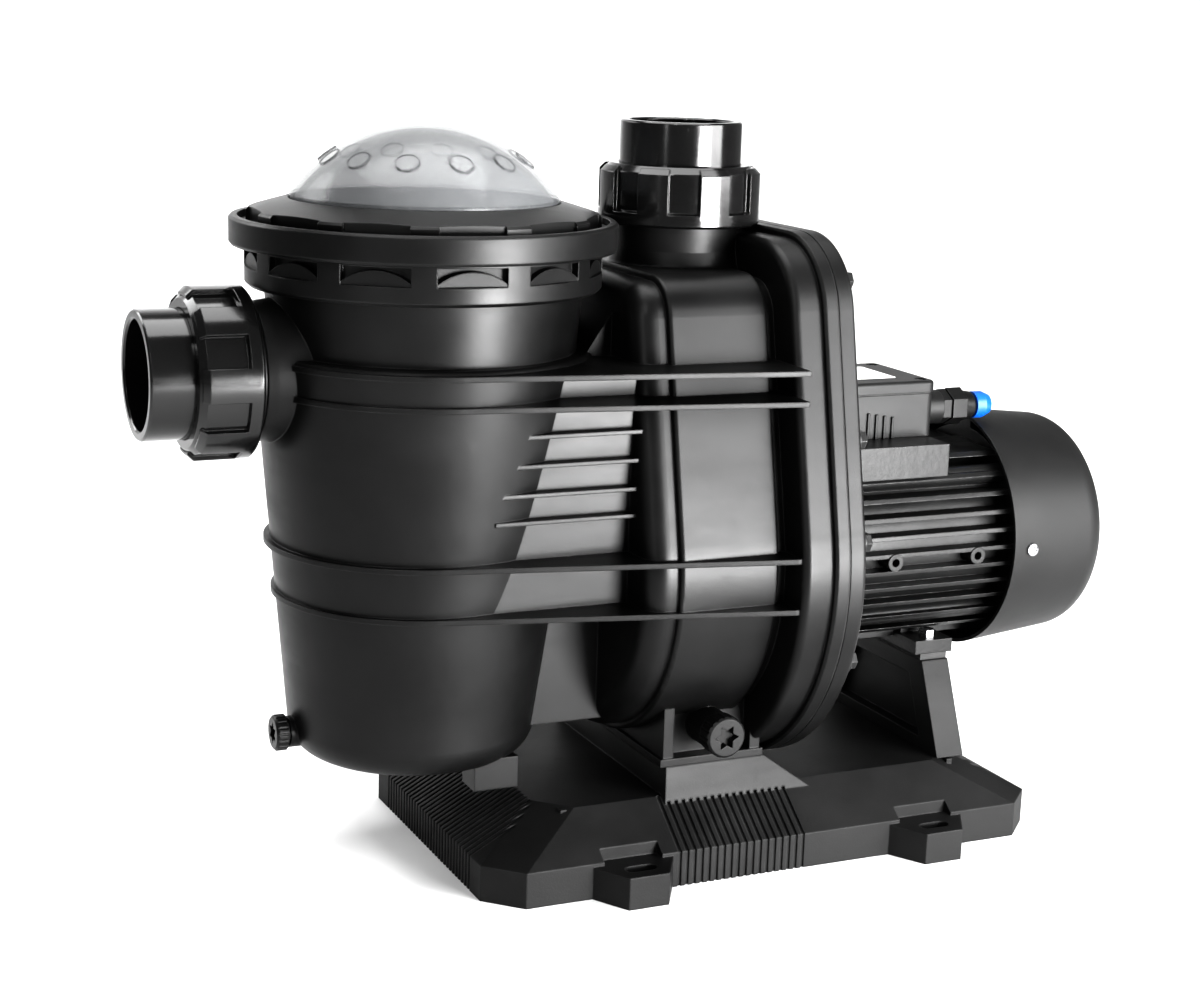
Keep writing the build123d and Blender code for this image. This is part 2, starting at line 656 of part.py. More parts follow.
def lid_seal():
    return Pos(POT_X, 0, SEAT_Z - 1.1) * Torus(94.4, 1.4)


def basket():
    """Slotted strainer basket hung from its rim, cut away at the suction inlet."""
    top_r, low_r, wall = 82.0, 58.0, 2.0
    low_z, rim_z = 92.0, LEDGE_Z
    cup = turned_z([
        (0, low_z), (low_r, low_z), (top_r, rim_z - 40), (top_r, rim_z), (MOUTH_R + 3, rim_z),
        (MOUTH_R + 3, rim_z + 2.4), (top_r - wall, rim_z + 2.4), (top_r - wall, rim_z - 40),
        (low_r - wall, low_z + wall), (0, low_z + wall),
    ], POT_X)
    rows, columns, rise = 12, 16, 15.0
    slot = Box(2 * top_r + 20, 16, 9)
    slots = [
        around_z(Pos(POT_X, 0, low_z + 14 + row * rise) * slot, 360 / columns * k, POT_X)
        for row in range(rows) for k in range(columns // 2)
    ]
    cup -= slots
    for y in range(-48, 49, 16):
        half = sqrt(54 ** 2 - y ** 2)
        cup -= block(POT_X - half, POT_X + half, y - 4, y + 4, low_z - 1, low_z + 3)
    cup -= tube_x(POT_X - 100, POT_X, 34, 0, 0, SUCTION_Z)
    for side in (-1, 1):
        cup += tube_y(side * 64 - 2, side * 64 + 2, 5, 0, POT_X, HANDLE_Z) & block(
            POT_X - 9, POT_X + 9, -70, 70, HANDLE_Z - 9, HANDLE_Z + 9)
        cup += block(POT_X - 5, POT_X + 5, *sorted((side * 64 - 2, side * 81)), HANDLE_Z - 5, HANDLE_Z - 3.6)
        cup += block(POT_X - 5, POT_X + 5, *sorted((side * 62, side * 66)), HANDLE_Z - 5, HANDLE_Z)
    for side in (-1, 1):
        cup -= tube_y(side * 64 - 4, side * 64 + 4, 2.6, 0, POT_X, HANDLE_Z)
    return cup


def basket_handle():
    """Bail that lies flat over the basket and swings up to lift it."""
    r, wire = 58.0, 2.2
    arc = CenterArc((0, 0, 0), r, -90, 180)
    path = Pos(POT_X, 0, HANDLE_Z) * Wire([arc])
    section = Plane(origin=(POT_X, -r, HANDLE_Z), z_dir=(1, 0, 0)) * Circle(wire)
    bail = sweep(section, path=path)
    for side in (-1, 1):
        bail += tube_y(*sorted((side * (r - 1.5), side * 65.5)), wire, 0, POT_X, HANDLE_Z)
    return bail


# ---- drain plugs ----
def drain_plug(head_r, head_h):
    """Plug standing on its seal face at z 0, head up, shank down, star socket in the head."""
    plug = turned_z([
        (0, 1.8), (head_r, 1.8), (head_r, head_h - 1.5), (head_r - 1.5, head_h), (0, head_h),
    ])
    plug += tube_z(-14, 1.9, DRAIN_R)
    for k in range(2):
        point = RegularPolygon(0.62 * head_r, 3, rotation=60 * k)
        plug -= extrude(Plane((0, 0, head_h - 5)) * point, amount=6)
    for k in range(18):
        plug -= Rot(0, 0, 20 * k) * Pos(head_r + 0.4, 0, head_h / 2) * Cylinder(0.9, head_h)
    return plug


def drain_seal():
    return Pos(0, 0, 0.9) * Torus(DRAIN_R + 1.6, 0.85)


def on_pot_drain(solid):
    return Pos(POT_X - 84, 0, DRAIN_Z) * Rot(0, -90, 0) * solid


def on_side_drain(solid):
    return Pos(SIDE_DRAIN_X, -90, SIDE_DRAIN_Z) * Rot(90, 0, 0) * solid


# ---- seal plate, diffuser, seal, impeller ----
def seal_plate():
    """Plastic plate that closes the chamber and carries the motor."""
    plate = casing(0, FLANGE_X + 0.8, PLATE_X)
    plate = fillet(plate.edges().group_by(Axis.X)[-1], 3.0)
    plate += tube_x(62, PLATE_X - 2, 27)
    plate -= tube_x(60, 72, 16)
    plate -= tube_x(60, PLATE_X + 1, SEAL_SHAFT_R + 2)
    plate -= tube_x(PLATE_X - 4, PLATE_X + 1, 50)
    for y, z in body_bolt_places():
        plate -= tube_x(FLANGE_X, PLATE_X + 1, 4.3, 0, y, z)
    for y, z in motor_bolt_places():
        plate -= tube_x(FLANGE_X + 3, PLATE_X + 1, 3.3, 0, y, z)
    return plate


def motor_bolt_places():
    r = 62.0
    return [(r * cos(radians(a)), AXIS_Z + r * sin(radians(a))) for a in (0, 90, 180, 270)]


def body_gasket():
    """Flat rubber joint between body and seal plate."""
    ring = casing(0.5, FLANGE_X, FLANGE_X + 0.8) - casing(18, FLANGE_X - 1, FLANGE_X + 2)
    for y, z in body_bolt_places():
        ring -= tube_x(FLANGE_X - 1, FLANGE_X + 2, 4.5, 0, y, z)
    return ring


def diffuser():
    """Guide ring round the impeller: front wall, collar on the intake tube, vanes."""
    ring_r = 82.0
    solid = turned_x([
        (-4, 30), (32, 30), (32, 25.4), (35, 25.4), (35, ring_r), (32, ring_r), (28, 36), (-4, 34),
    ])
    vane_x1 = FLANGE_X + 0.8
    for k in range(8):
        vane = prism_x([(-2, 66), (2.5, 67), (14, ring_r - 2), (11.5, ring_r - 1)], 34, vane_x1)
        solid += Pos(0, 0, AXIS_Z) * Rot(45 * k, 0, 0) * vane
    return solid


def wear_ring():
    return tube_x(26, 32, 30, EYE_R + 0.25)


def impeller():
    """Closed impeller with six backswept blades."""
    back_x, front_x, skin = 52.0, 38.0, 2.5
    solid = tube_x(back_x, back_x + skin, IMPELLER_R, 7.5)
    solid += turned_x([
        (27, 21.5), (27, EYE_R), (front_x, EYE_R), (front_x, IMPELLER_R), (front_x + skin, IMPELLER_R),
        (front_x + skin, 23), (front_x - 2, 21.5),
    ])
    solid += tube_x(40, back_x + 3, 13, 7.5)
    for k in range(6):
        arc = CenterArc((0, 34), 24, 150, 110)
        blade = Plane(origin=(front_x + 1, 0, AXIS_Z), x_dir=(0, 1, 0), z_dir=(1, 0, 0)) * trace(arc, 2.4)
        piece = extrude(blade, amount=back_x + 1 - front_x - 1)
        piece &= tube_x(front_x, back_x + 1, IMPELLER_R - 0.5, 12)
        solid += around_x(piece, 60 * k)
    return solid


def impeller_insert():
    """Brass insert the shaft end screws into, with its cap."""
    return tube_x(40, 55, 7.5, 5.0) + turned_x([(33, 0), (33, 5), (35, 7.5), (40, 7.5), (40, 0)])


def shaft():
    """Stepped stainless shaft."""
    steps = [
        (40.5, 55.2, 5.0), (55.2, 88, SEAL_SHAFT_R), (88, CORE_X0 - 12, BEARING_BORE_R),
        (CORE_X0 - 12, CORE_X1 + 12, 12.0), (CORE_X1 + 12, REAR_BEARING_X + BEARING_W, BEARING_BORE_R),
        (REAR_BEARING_X + BEARING_W, 294, SEAL_SHAFT_R),
    ]
    solid = Part()
    for x0, x1, r in steps:
        solid += tube_x(x0, x1, r)
    return solid


def seal_head():
    """Rotating half of the shaft seal: drive cup, rubber bellows and carbon ring."""
    cup = tube_x(55.2, 57, 13, SEAL_SHAFT_R)
    bellows = turned_x([
        (57, SEAL_SHAFT_R), (57, 10.5), (62, 10.5), (62, 13), (64, 13), (64, SEAL_SHAFT_R),
    ])
    carbon = tube_x(64, 66, 12.5, SEAL_SHAFT_R + 0.6)
    return cup, bellows, carbon


def seal_spring():
    coil = Helix(pitch=1.6, height=4.0, radius=12.0)
    path = Pos(57.5, 0, AXIS_Z) * Rot(0, 90, 0) * Wire([coil])
    start = path @ 0
    return sweep(Plane(origin=start, z_dir=path % 0) * Circle(0.45), path=path)


def seal_seat():
    """Fixed ceramic ring in its rubber cup."""
    ring = tube_x(66.1, 71, 13.5, SEAL_SHAFT_R + 1)
    cup = tube_x(67, 72, 16, 13.5) + tube_x(71, 72, 14, SEAL_SHAFT_R + 2)
    return ring, cup


# ---- motor ----
def motor_frame():
    """Finned aluminium frame with its box pad, foot and side bosses."""
    solid = tube_x(FRAME_X, FRAME_END_X, FRAME_R, BORE_R)
    envelope = tube_x(FRAME_X + 4, FRAME_END_X - 3, FIN_R, BORE_R + 2)
    fin, pitch = 2.8, 11.3
    fins = Part()
    for k in range(-5, 6):
        z = AXIS_Z + pitch * (k + 0.1)
        fins += block(FRAME_X, FRAME_END_X, -FIN_R - 2, FIN_R + 2, z - fin / 2, z + fin / 2)
    for k in range(-2, 3):
        y = pitch * k
        fins += block(FRAME_X, FRAME_END_X, y - fin / 2, y + fin / 2, AXIS_Z - FIN_R - 2, AXIS_Z)
    solid += fins & envelope
    for turn in TIE_TURNS:
        solid += around_x(tube_x(FRAME_X, FRAME_END_X, 6.5, 0, 0, AXIS_Z + TIE_R), turn)
    pad = block(FRAME_X + 3, BOX_X1 - 4, -64, 64, BOX_Z - 21, BOX_Z)
    foot = block(STAND_X - 4, STAND_X + STAND_T + 4, -52, 52, MOTOR_FOOT_Z, MOTOR_FOOT_Z + 9)
    foot += block(STAND_X - 2, STAND_X + STAND_T + 2, -30, 30, MOTOR_FOOT_Z, AXIS_Z - 40)
    solid += pad + foot - tube_x(0, COWL_END_X, BORE_R)
    for x in (146.0, 208.0):
        for side in (-1, 1):
            solid += tube_y(*sorted((side * 58, side * (FIN_R + 1))), 5.5, 0, x, AXIS_Z - 3)
    for x in (146.0, 208.0):
        for side in (-1, 1):
            solid -= tube_y(*sorted((side * 62, side * (FIN_R + 2))), 2.6, 0, x, AXIS_Z - 3)
    for turn in TIE_TURNS:
        hole = tube_x(FRAME_X - 1, FRAME_END_X + 1, TIE_HOLE_R, 0, 0, AXIS_Z + TIE_R)
        solid -= around_x(hole, turn)
    for x, y in stand_bolt_places():
        solid -= tube_z(MOTOR_FOOT_Z - 1, MOTOR_FOOT_Z + 10, 3.2, 0, x, y)
    return solid


def stand_bolt_places():
    return [(STAND_X + STAND_T / 2, y) for y in (-42.0, 42.0)]


def stand_bolts():
    """Screws down through the motor foot into the stand."""
    solid = Part()
    for x, y in stand_bolt_places():
        solid += tube_z(MOTOR_FOOT_Z - 16, MOTOR_FOOT_Z + 9, STAND_BOLT_R, 0, x, y)
        solid += Pos(x, y, MOTOR_FOOT_Z + 9) * extrude(RegularPolygon(5.5, 6), amount=5)
    return solid


def front_shield():
    """Motor flange shield with the front bearing housing."""
    solid = turned_x([
        (PLATE_X, 20), (PLATE_X, 72), (FRAME_X, 70), (FRAME_X, BORE_R), (FRAME_X + 6, BORE_R),
        (FRAME_X + 6, BORE_R - 4), (FRAME_X - 3, BORE_R - 6), (FRAME_X, 29), (108, 29), (108, 21),
        (106, 21), (106, BEARING_R), (FRONT_BEARING_X, BEARING_R), (FRONT_BEARING_X, SEAL_SHAFT_R + 2.6),
        (90, SEAL_SHAFT_R + 2.6), (90, 20),
    ])
    for y, z in motor_bolt_places():
        solid -= tube_x(PLATE_X - 1, FRAME_X + 1, 3.4, 0, y, z)
        solid -= tube_x(FRAME_X - 7, FRAME_X + 1, 6, 0, y, z)
    for turn in TIE_TURNS:
        solid -= around_x(tube_x(PLATE_X + 3, FRAME_X + 1, TIE_HOLE_R, 0, 0, AXIS_Z + TIE_R), turn)
    return solid


def motor_bolts():
    """Socket screws joining motor flange and seal plate."""
    solid = Part()
    for y, z in motor_bolt_places():
        solid += tube_x(FLANGE_X + 4, FRAME_X - 7, 3.2, 0, y, z)
        solid += tube_x(FRAME_X - 7, FRAME_X - 1, 5.5, 0, y, z)
    return solid


def rear_shield():
    """Rear end shield with bearing housing and the lugs that carry the fan cover."""
    x0, x1 = FRAME_END_X, FRAME_END_X + 10
    solid = turned_x([
        (x0 - 6, BORE_R), (x0, BORE_R), (x0, 68), (x1 - 2, 68), (x1, 64), (x1, 30), (x1 + 2, 28),
        (x1 + 2, SEAL_SHAFT_R + 0.5), (REAR_BEARING_X + 14.6, SEAL_SHAFT_R + 0.5),
        (REAR_BEARING_X + 14.6, BEARING_R), (REAR_BEARING_X - 4, BEARING_R),
        (REAR_BEARING_X - 4, 29), (x0 + 2, 31), (x0 + 2, BORE_R - 5), (x0 - 6, BORE_R - 4),
    ])
    for turn in COWL_TURNS:
        lug = block(x0, x1, -7, 7, AXIS_Z + 60, AXIS_Z + COWL_R)
        lug &= tube_x(x0, x1, COWL_R - COWL_WALL - 2.1)
        hole = tube_z(AXIS_Z + 66, AXIS_Z + COWL_R, 1.9, 0, COWL_SCREW_X)
        solid += around_x(lug, turn)
        solid -= around_x(hole, turn)
    for turn in TIE_TURNS:
        solid -= around_x(tube_x(x0 - 1, x1 + 1, TIE_HOLE_R, 0, 0, AXIS_Z + TIE_R), turn)
    return solid


def tie_rods():
    solid = Part()
    for turn in TIE_TURNS:
        rod = tube_x(PLATE_X + 4, FRAME_END_X + 17, 2.5, 0, 0, AXIS_Z + TIE_R)
        nut = hexagon_x(FRAME_END_X + 10, FRAME_END_X + 15, 8, 0, AXIS_Z + TIE_R)
        solid += around_x(rod + nut, turn)
    return solid


def bearing_rings(x):
    outer = tube_x(x, x + BEARING_W, BEARING_R, BEARING_OUTER_R)
    inner = tube_x(x, x + BEARING_W, BEARING_INNER_R, BEARING_BORE_R)
    return outer, inner


def bearing_balls():
    """Both rows of balls with their cages."""
    pitch_r, ball_r = 16.8, 3.9
    solid = Part()
    for x in BEARING_XS:
        mid = x + BEARING_W / 2
        solid += tube_x(mid - 1, mid + 1, pitch_r + 1.5, pitch_r - 1.5)
        for k in range(8):
            solid += around_x(Pos(mid, 0, AXIS_Z + pitch_r) * Sphere(ball_r), 45 * k)
    return solid


def stator():
    """Laminated core and the copper winding in its slots."""
    inner_r, slot_r0, slot_r1 = ROTOR_R + 0.4, 37.0, 48.0
    core = tube_x(CORE_X0, CORE_X1, BORE_R, inner_r)
    coil = turned_x([(CORE_X0 - 13, 38), (CORE_X0 - 13, 48), (CORE_X0, 50), (CORE_X0, 37)])
    coil += turned_x([(CORE_X1 + 13, 38), (CORE_X1 + 13, 48), (CORE_X1, 50), (CORE_X1, 37)])
    for k in range(18):
        slot = block(CORE_X0 - 1, CORE_X1 + 1, -2.8, 2.8, AXIS_Z + slot_r0, AXIS_Z + slot_r1)
        throat = block(CORE_X0 - 1, CORE_X1 + 1, -1, 1, AXIS_Z + inner_r - 2, AXIS_Z + slot_r0 + 1)
        core -= around_x(slot + throat, 20 * k)
        bar = block(CORE_X0 - 1, CORE_X1 + 1, -2.6, 2.6, AXIS_Z + slot_r0 + 0.5, AXIS_Z + slot_r1 - 0.3)
        coil += around_x(bar, 20 * k)
    return core, coil


def rotor_core():
    """Laminated rotor with cast end rings and fan studs."""
    solid = tube_x(CORE_X0, CORE_X1, ROTOR_R, 12)
    for x0, x1 in ((CORE_X0 - 9, CORE_X0), (CORE_X1, CORE_X1 + 9)):
        solid += tube_x(x0, x1, ROTOR_R - 2, 18)
    for k in range(12):
        for x0, x1 in ((CORE_X0 - 14, CORE_X0 - 8), (CORE_X1 + 8, CORE_X1 + 14)):
            blade = block(x0, x1, -1, 1, AXIS_Z + 20, AXIS_Z + 29)
            solid += around_x(blade, 30 * k)
    return solid


def slinger():
    """Rubber ring that throws water off the shaft."""
    return turned_x([(84, SEAL_SHAFT_R), (84, 14), (86, 17), (87, 17), (87, SEAL_SHAFT_R)])


def cooling_fan():
    """Radial fan on the rear shaft end."""
    solid = tube_x(264, 290, 15, SEAL_SHAFT_R)
    solid += turned_x([(264, 14), (264, 30), (268, 62), (270, 62), (267, 14)])
    for k in range(7):
        outline = [(266, 14), (266, 62), (282, 62), (290, 44), (290, 14)]
        face = Face(Wire.make_polygon([(x, -1.1, AXIS_Z + r) for x, r in outline], close=True))
        solid += around_x(extrude(face, amount=2.2, dir=(0, 1, 0)), 360 / 7 * k)
    return solid


def fan_clip():
    return tube_x(290.4, 292, 12, SEAL_SHAFT_R)


def fan_cover():
    """Deep drawn cover with a rounded end and an air grille."""
    end, edge_r = COWL_END_X, 19.0
    skin, taper = COWL_WALL, 8.0
    outer = turned_x([(COWL_X, 0), (COWL_X, COWL_R), (end, COWL_R - taper), (end, 0)])
    outer = fillet(outer.edges().group_by(Axis.X)[-1], edge_r)
    inner = turned_x([
        (COWL_X - 1, 0), (COWL_X - 1, COWL_R - skin), (end - skin, COWL_R - taper - skin), (end - skin, 0),
    ])
    inner = fillet(inner.edges().group_by(Axis.X)[-1], edge_r - skin)
    solid = outer - inner
    rings = [(10.0, 14.0), (18.0, 22.0), (26.0, 30.0), (34.0, 38.0), (42.0, 46.0)]
    spokes = Part()
    for turn in (0, 45, 90, 135):
        spokes += around_x(block(end - 10, end + 1, -3, 3, AXIS_Z - COWL_R, AXIS_Z + COWL_R), turn)
    for r0, r1 in rings:
        solid -= tube_x(end - 8, end + 1, r1, r0) - spokes
    for turn in COWL_TURNS:
        hole = tube_z(AXIS_Z + COWL_R - 5, AXIS_Z + COWL_R + 1, 2.4, 0, COWL_SCREW_X)
        solid -= around_x(hole, turn)
    return solid


def fan_cover_screws():
    solid = Part()
    top = AXIS_Z + COWL_R - 1.0
    for turn in COWL_TURNS:
        screw = tube_z(AXIS_Z + 67, top, 1.9, 0, COWL_SCREW_X)
        head = turned_z([
            (0, top), (4.4, top), (4.0, top + 1.4), (2.2, top + 2.2), (0, top + 2.2),
        ], COWL_SCREW_X)
        for angle in (0, 90):
            head -= Pos(COWL_SCREW_X, 0, top + 2) * Rot(0, 0, angle) * Box(5, 0.9, 2)
        solid += around_x(screw + head, turn)
    return solid


# ---- terminal box ----
def terminal_box():
    """Open topped box with a boss for the cable gland."""
    y = BOX_HALF_Y
    solid = block(BOX_X0, BOX_X1, -y, y, BOX_Z, BOX_LID_Z)
    solid = fillet(solid.edges().filter_by(Axis.Z), 5.0)
    solid += tube_x(BOX_X1 - 4, GLAND_X, 11.0, 0, GLAND_Y, GLAND_Z)
    room = block(BOX_X0 + 3, BOX_X1 - 3, -y + 3, y - 3, BOX_Z + 3, BOX_LID_Z + 1)
    solid -= fillet(room.edges().filter_by(Axis.Z), 3.0)
    for k in range(4):
        for side in (-1, 1):
            x = BOX_X1 - 50 + 6 * k
            solid += block(x, x + 1.6, *sorted((side * (y - 1), side * (y + 1.4))), BOX_Z, BOX_Z + 17 - k)
    solid -= tube_x(BOX_X1 - 8, GLAND_X + 1, 8.0, 0, GLAND_Y, GLAND_Z)
    for x, yy in box_screw_places():
        solid += tube_z(BOX_Z, BOX_LID_Z, 4.5, 0, x, yy)
        solid -= tube_z(BOX_LID_Z - 12, BOX_LID_Z + 1, 1.8, 0, x, yy)
    return solid


def box_screw_places():
    return [(x, y) for x in (BOX_X0 + 7, BOX_X1 - 7) for y in (-BOX_HALF_Y + 7, BOX_HALF_Y - 7)]


def terminal_lid_seal():
    y = BOX_HALF_Y
    ring = block(BOX_X0 + 0.5, BOX_X1 - 0.5, -y + 0.5, y - 0.5, BOX_LID_Z, BOX_LID_Z + 1)
    ring = fillet(ring.edges().filter_by(Axis.Z), 4.5)
    ring -= block(BOX_X0 + 3, BOX_X1 - 3, -y + 3, y - 3, BOX_LID_Z - 1, BOX_LID_Z + 2)
    return ring


def terminal_lid():
    y = BOX_HALF_Y + 0.8
    solid = block(BOX_X0 - 0.8, BOX_X1 + 0.8, -y, y, BOX_LID_Z + 1, BOX_TOP_Z)
    solid = fillet(solid.edges().filter_by(Axis.Z), 5.5)
    solid = fillet(solid.edges().group_by(Axis.Z)[-1], 2.5)
    solid -= block(BOX_X0 + 3, BOX_X1 - 3, -y + 4, y - 4, BOX_LID_Z, BOX_TOP_Z - 2.6)
    for x, yy in box_screw_places():
        solid += tube_z(BOX_LID_Z + 1, BOX_TOP_Z - 2, 5.0, 0, x, yy)
        solid -= tube_z(BOX_LID_Z, BOX_TOP_Z + 1, 2.2, 0, x, yy)
        solid -= tube_z(BOX_TOP_Z - 3.4, BOX_TOP_Z + 1, 4.0, 0, x, yy)
    return solid


def terminal_lid_screws():
    solid = Part()
    for x, y in box_screw_places():
        solid += tube_z(BOX_LID_Z - 11, BOX_TOP_Z - 3.4, 1.8, 0, x, y)
        head = tube_z(BOX_TOP_Z - 3.4, BOX_TOP_Z - 0.8, 3.6, 0, x, y)
        for angle in (0, 90):
            head -= Pos(x, y, BOX_TOP_Z - 1) * Rot(0, 0, angle) * Box(4.6, 0.9, 2)
        solid += head
    return solid


def rating_label():
    """Blank plate on the box lid."""
    plate = block(BOX_X0 + 26, BOX_X1 - 20, -22, 22, BOX_TOP_Z, BOX_TOP_Z + 0.3)
    return fillet(plate.edges().filter_by(Axis.Z), 2.0)


def terminal_block():
    """Moulded block with its brass studs."""
    x0, x1 = BOX_X0 + 22, BOX_X0 + 66
    board = block(x0, x1, -16, 16, BOX_Z + 3, BOX_Z + 9)
    for k in range(4):
        x = x0 + 1 + 14 * k - 1
        board += block(x, x + 1.6, -16, 16, BOX_Z + 8, BOX_Z + 14)
    studs = Part()
    for k in range(3):
        for y in (-9, 9):
            x = x0 + 8 + 14 * k
            board -= tube_z(BOX_Z + 5, BOX_Z + 10, 2.0, 0, x, y)
            studs += tube_z(BOX_Z + 5, BOX_Z + 17, 2.0, 0, x, y)
            studs += Pos(x, y, BOX_Z + 9) * extrude(RegularPolygon(4, 6), amount=3)
    studs += tube_z(BOX_Z + 3, BOX_Z + 8, 4.2, 0, BOX_X1 - 16, -18)
    return board, studs


def gland_body():
    """Threaded gland body with its hexagon."""
    x, inside = GLAND_X, BOX_X1 - 2.4
    solid = hexagon_x(x, x + 6, 20, GLAND_Y, GLAND_Z, 30)
    solid += tube_x(inside, x, 8.0, 0, GLAND_Y, GLAND_Z)
    solid += tube_x(x, x + 16, 8.6, 0, GLAND_Y, GLAND_Z)
    return solid - tube_x(inside - 1, x + 17, 6.0, 0, GLAND_Y, GLAND_Z)


def gland_nut():
    """Domed clamping nut."""
    x = GLAND_X + 7
    solid = hexagon_x(x, x + 11, 21, GLAND_Y, GLAND_Z, 30)
    dome = [(x + 11, 0), (x + 11, 10.2), (x + 18, 9), (x + 20, 7.4), (x + 20, 0)]
    solid += turned_x(dome, GLAND_Y, GLAND_Z)
    solid -= tube_x(x - 1, x + 9.5, 8.6, 0, GLAND_Y, GLAND_Z)
    return solid - tube_x(x, x + 21, 6.0, 0, GLAND_Y, GLAND_Z)


def gland_plug():
    """Rounded blanking plug in the cable entry."""
    x = GLAND_X + 27.4
    return turned_x([
        (x - 18, 0), (x - 18, 5.7), (x, 5.7), (x, 8.8), (x + 7, 8.8), (x + 12, 6.6), (x + 14, 3.0),
        (x + 14.5, 0),
    ], GLAND_Y, GLAND_Z)


NODES = [
    ("plinth", plinth),
    ("motor_stand", motor_stand),
    ("stand_pad", stand_pad),
    ("stand_bolts", stand_bolts),
    ("wet_end_body", wet_end_body),
    ("body_inserts", body_inserts),
    ("body_gasket", body_gasket),
    ("body_bolts", body_bolts),
    ("seal_plate", seal_plate),
    ("diffuser", diffuser),
    ("wear_ring", wear_ring),
    ("suction_tailpiece", lambda: on_suction(union_tail())),
    ("suction_nut", lambda: on_suction(union_nut())),
    ("discharge_tailpiece", lambda: on_discharge(union_tail())),
    ("discharge_nut", lambda: on_discharge(union_nut())),
    ("union_seals", lambda: Part() + [on_suction(union_ring()), on_discharge(union_ring())]),
    ("lid_dome", lid_dome),
    ("lid_seal", lid_seal),
    ("lock_ring", lock_ring),
    ("basket", basket),
    ("basket_handle", basket_handle),
    ("pot_drain_plug", lambda: on_pot_drain(drain_plug(11.0, 9.0))),
    ("pot_drain_seal", lambda: on_pot_drain(drain_seal())),
    ("chamber_drain_plug", lambda: on_side_drain(drain_plug(13.0, 13.0))),
    ("chamber_drain_seal", lambda: on_side_drain(drain_seal())),
    ("impeller", impeller),
    ("impeller_insert", impeller_insert),
    ("shaft", shaft),
    ("seal_drive_cup", lambda: seal_head()[0]),
    ("seal_bellows", lambda: seal_head()[1]),
    ("seal_carbon_ring", lambda: seal_head()[2]),
    ("seal_spring", seal_spring),
    ("seal_seat", lambda: seal_seat()[0]),
    ("seal_seat_cup", lambda: seal_seat()[1]),
    ("slinger", slinger),
    ("motor_frame", motor_frame),
    ("front_shield", front_shield),
    ("motor_bolts", motor_bolts),
    ("rear_shield", rear_shield),
    ("tie_rods", tie_rods),
    ("bearing_outer_rings", lambda: Part() + [bearing_rings(x)[0] for x in BEARING_XS]),
    ("bearing_inner_rings", lambda: Part() + [bearing_rings(x)[1] for x in BEARING_XS]),
    ("bearing_balls", bearing_balls),
    ("stator_core", lambda: stator()[0]),
    ("stator_winding", lambda: stator()[1]),
    ("rotor_core", rotor_core),
    ("cooling_fan", cooling_fan),
    ("fan_clip", fan_clip),
    ("fan_cover", fan_cover),
    ("fan_cover_screws", fan_cover_screws),
    ("terminal_box", terminal_box),
    ("terminal_lid_seal", terminal_lid_seal),
    ("terminal_lid", terminal_lid),
    ("terminal_lid_screws", terminal_lid_screws),
    ("rating_label", rating_label),
    ("terminal_block", lambda: terminal_block()[0]),
    ("terminal_studs", lambda: terminal_block()[1]),
    ("gland_body", gland_body),
    ("gland_nut", gland_nut),
    ("gland_plug", gland_plug),
]

os.makedirs("parts", exist_ok=True)
for name, make in NODES:
    export_step(Part() + make(), f"parts/{name}.step")
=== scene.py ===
import bpy
import json
from math import radians, sin, cos
from mathutils import Matrix, Vector

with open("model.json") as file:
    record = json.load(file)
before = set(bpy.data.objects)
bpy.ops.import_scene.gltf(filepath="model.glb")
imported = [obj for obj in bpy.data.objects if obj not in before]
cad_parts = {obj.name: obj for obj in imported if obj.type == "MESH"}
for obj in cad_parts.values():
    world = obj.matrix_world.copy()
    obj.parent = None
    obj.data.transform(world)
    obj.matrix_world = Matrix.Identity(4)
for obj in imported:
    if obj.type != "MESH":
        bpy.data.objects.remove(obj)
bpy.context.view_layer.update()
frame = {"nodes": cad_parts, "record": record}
record = frame["record"]
slotOf = {part["node"]: part["material_slot"] for part in record["subparts"]}
print("frame loaded:", len(slotOf), "nodes")


def deselectAll():
    if bpy.context.object and bpy.context.object.mode != "OBJECT":
        bpy.ops.object.mode_set(mode="OBJECT")
    bpy.ops.object.select_all(action="DESELECT")


# camera: stands to the left of the pump's front, looking slightly down; angles in degrees, lens in mm
cameraLook = {"place": (-0.5924, -1.2143, 0.5156), "turn": 24.89, "down": 12.74, "roll": 1.76,
              "lens": 65.61, "sensor": 36.0}


def addCamera():
    turn, down, roll = (radians(cameraLook[key]) for key in ("turn", "down", "roll"))
    ahead = Vector((sin(turn) * cos(down), cos(turn) * cos(down), -sin(down)))
    level = Vector((cos(turn), -sin(turn), 0.0))
    upright = level.cross(ahead)
    right = cos(roll) * level + sin(roll) * upright
    up = cos(roll) * upright - sin(roll) * level
    lens = bpy.data.cameras.new("viewCamera")
    lens.lens, lens.sensor_width, lens.sensor_fit = cameraLook["lens"], cameraLook["sensor"], "HORIZONTAL"
    camera = bpy.data.objects.new("viewCamera", lens)
    bpy.context.scene.collection.objects.link(camera)
    turned = Matrix((right, up, -ahead)).transposed().to_4x4()
    turned.translation = Vector(cameraLook["place"])
    camera.matrix_world = turned
    bpy.context.scene.camera = camera


addCamera()
print("camera ready")


bevelSamples = 4  # rays that find the rounding of an edge


